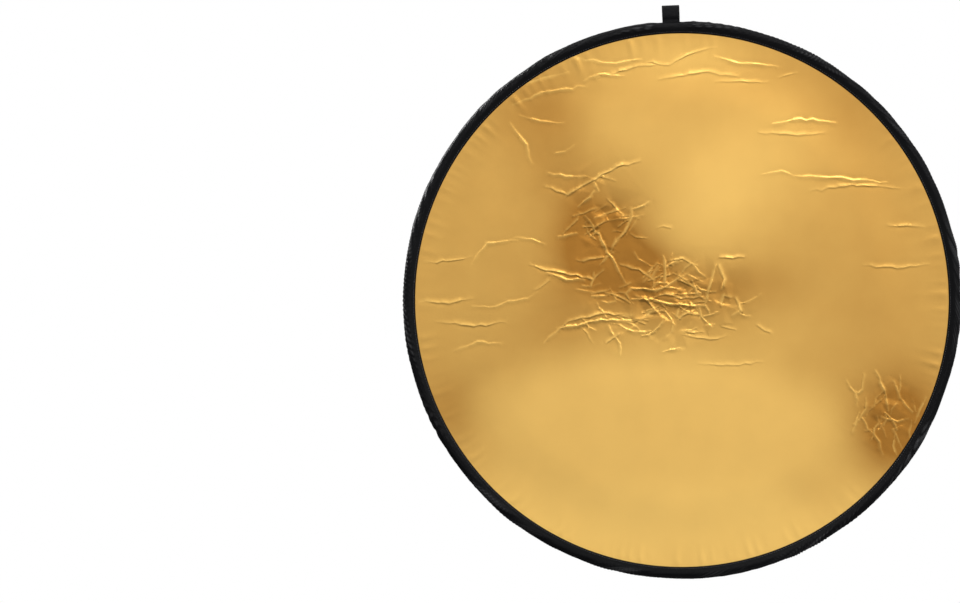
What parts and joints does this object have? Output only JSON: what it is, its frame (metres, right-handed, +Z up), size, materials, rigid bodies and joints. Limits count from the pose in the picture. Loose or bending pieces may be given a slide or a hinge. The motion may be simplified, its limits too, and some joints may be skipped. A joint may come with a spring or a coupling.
{
  "type": "collapsible reflector disc",
  "caption": "Round handheld light reflector: gold face in a black sewn rim, zip-round cover with white, silver and black faces, and a translucent diffuser on a spring-steel hoop inside.",
  "frame": {"origin": "centre of the disc, midway through the diffuser's thickness", "axes": "+Z up to the hanging loop, -Y out of the gold face, +X to the right seen from the gold face"},
  "size_m": [0.8, 0.0188, 0.824],
  "materials": {
    "gold_cloth": "metallic gold foil laminated on thin cloth, satin sheen with fine creases",
    "silver_cloth": "metallic silver foil laminated on thin cloth, satin sheen",
    "white_cloth": "matt white woven nylon",
    "black_cloth": "matt black woven nylon",
    "diffuser_cloth": "translucent white nylon",
    "black_binding": "black nylon edge binding, slightly glossy on the folds",
    "black_webbing": "ribbed black webbing",
    "black_tape": "woven black zip tape",
    "black_coil": "satin black nylon coil",
    "zip_metal": "dark gunmetal enamel",
    "stop_metal": "dark enamel",
    "spring_steel": "bare spring steel",
    "sleeve_metal": "crimped zinc-plated steel"
  },
  "bodies": {
    "back_cover": {"white_back_panel": "white_cloth", "black_inner_panel": "black_cloth", "back_edge_binding": "black_binding", "rim_sewn_section": "black_binding", "inner_zip_tape": "black_tape", "inner_zip_coil": "black_coil", "inner_top_stop": "stop_metal", "zip_bottom_stop": "stop_metal"},
    "front_cover": {"gold_front_panel": "gold_cloth", "silver_inner_panel": "silver_cloth", "front_edge_binding": "black_binding", "rim_gusset": "black_binding", "outer_zip_tape": "black_tape", "outer_zip_coil": "black_coil", "outer_top_stop": "stop_metal", "hanging_loop_tail": "black_webbing"},
    "hanging_loop_body": {"hanging_loop": "black_webbing"},
    "diffuser": {"diffuser_fabric": "diffuser_cloth", "diffuser_binding": "black_binding", "spring_steel_band": "spring_steel", "band_splice_sleeve": "sleeve_metal", "diffuser_loop_patch": "black_webbing"},
    "diffuser_loop_body": {"diffuser_loop": "black_webbing"},
    "zip_slider": {"slider_body": "zip_metal", "slider_bridge": "zip_metal"},
    "zip_pull_body": {"zip_pull": "zip_metal"}
  },
  "joints": [
    {"name": "front_cover_fold", "type": "hinge", "parent": "back_cover", "child": "front_cover", "pos_m": [0, -0.011, -0.3866], "axis": [1, 0, 0], "range_deg": [0, 175]},
    {"name": "zip_travel", "type": "hinge", "parent": "back_cover", "child": "zip_slider", "pos_m": [0, 0.0065, 0], "axis": [0, 1, 0], "range_deg": [0, 324.7]},
    {"name": "pull_swing", "type": "hinge", "parent": "zip_slider", "child": "zip_pull_body", "pos_m": [-0.11994, 0.00898, -0.37583], "axis": [0.304, 0, 0.9527], "range_deg": [0, 170]},
    {"name": "diffuser_lift", "type": "slide", "parent": "back_cover", "child": "diffuser", "axis": [0, 0, 1], "range_m": [0, 0.801]},
    {"name": "diffuser_loop_unfold", "type": "hinge", "parent": "diffuser", "child": "diffuser_loop_body", "pos_m": [0, -0.0043, 0.3916], "axis": [-1, 0, 0], "range_deg": [0, 175.1]},
    {"name": "hanging_loop_flex", "type": "hinge", "parent": "front_cover", "child": "hanging_loop_body", "pos_m": [0, -0.001, 0.4015], "axis": [1, 0, 0], "range_deg": [-70, 70], "stiffness_Nm_per_rad": 0.02}
  ],
  "couplings": [
    {"joint": "zip_travel", "follows": "front_cover_fold", "ratio": 1.8549},
    {"joint": "diffuser_lift", "follows": "front_cover_fold", "m_per_rad": 0.26192},
    {"joint": "diffuser_loop_unfold", "follows": "front_cover_fold", "ratio": 1}
  ]
}
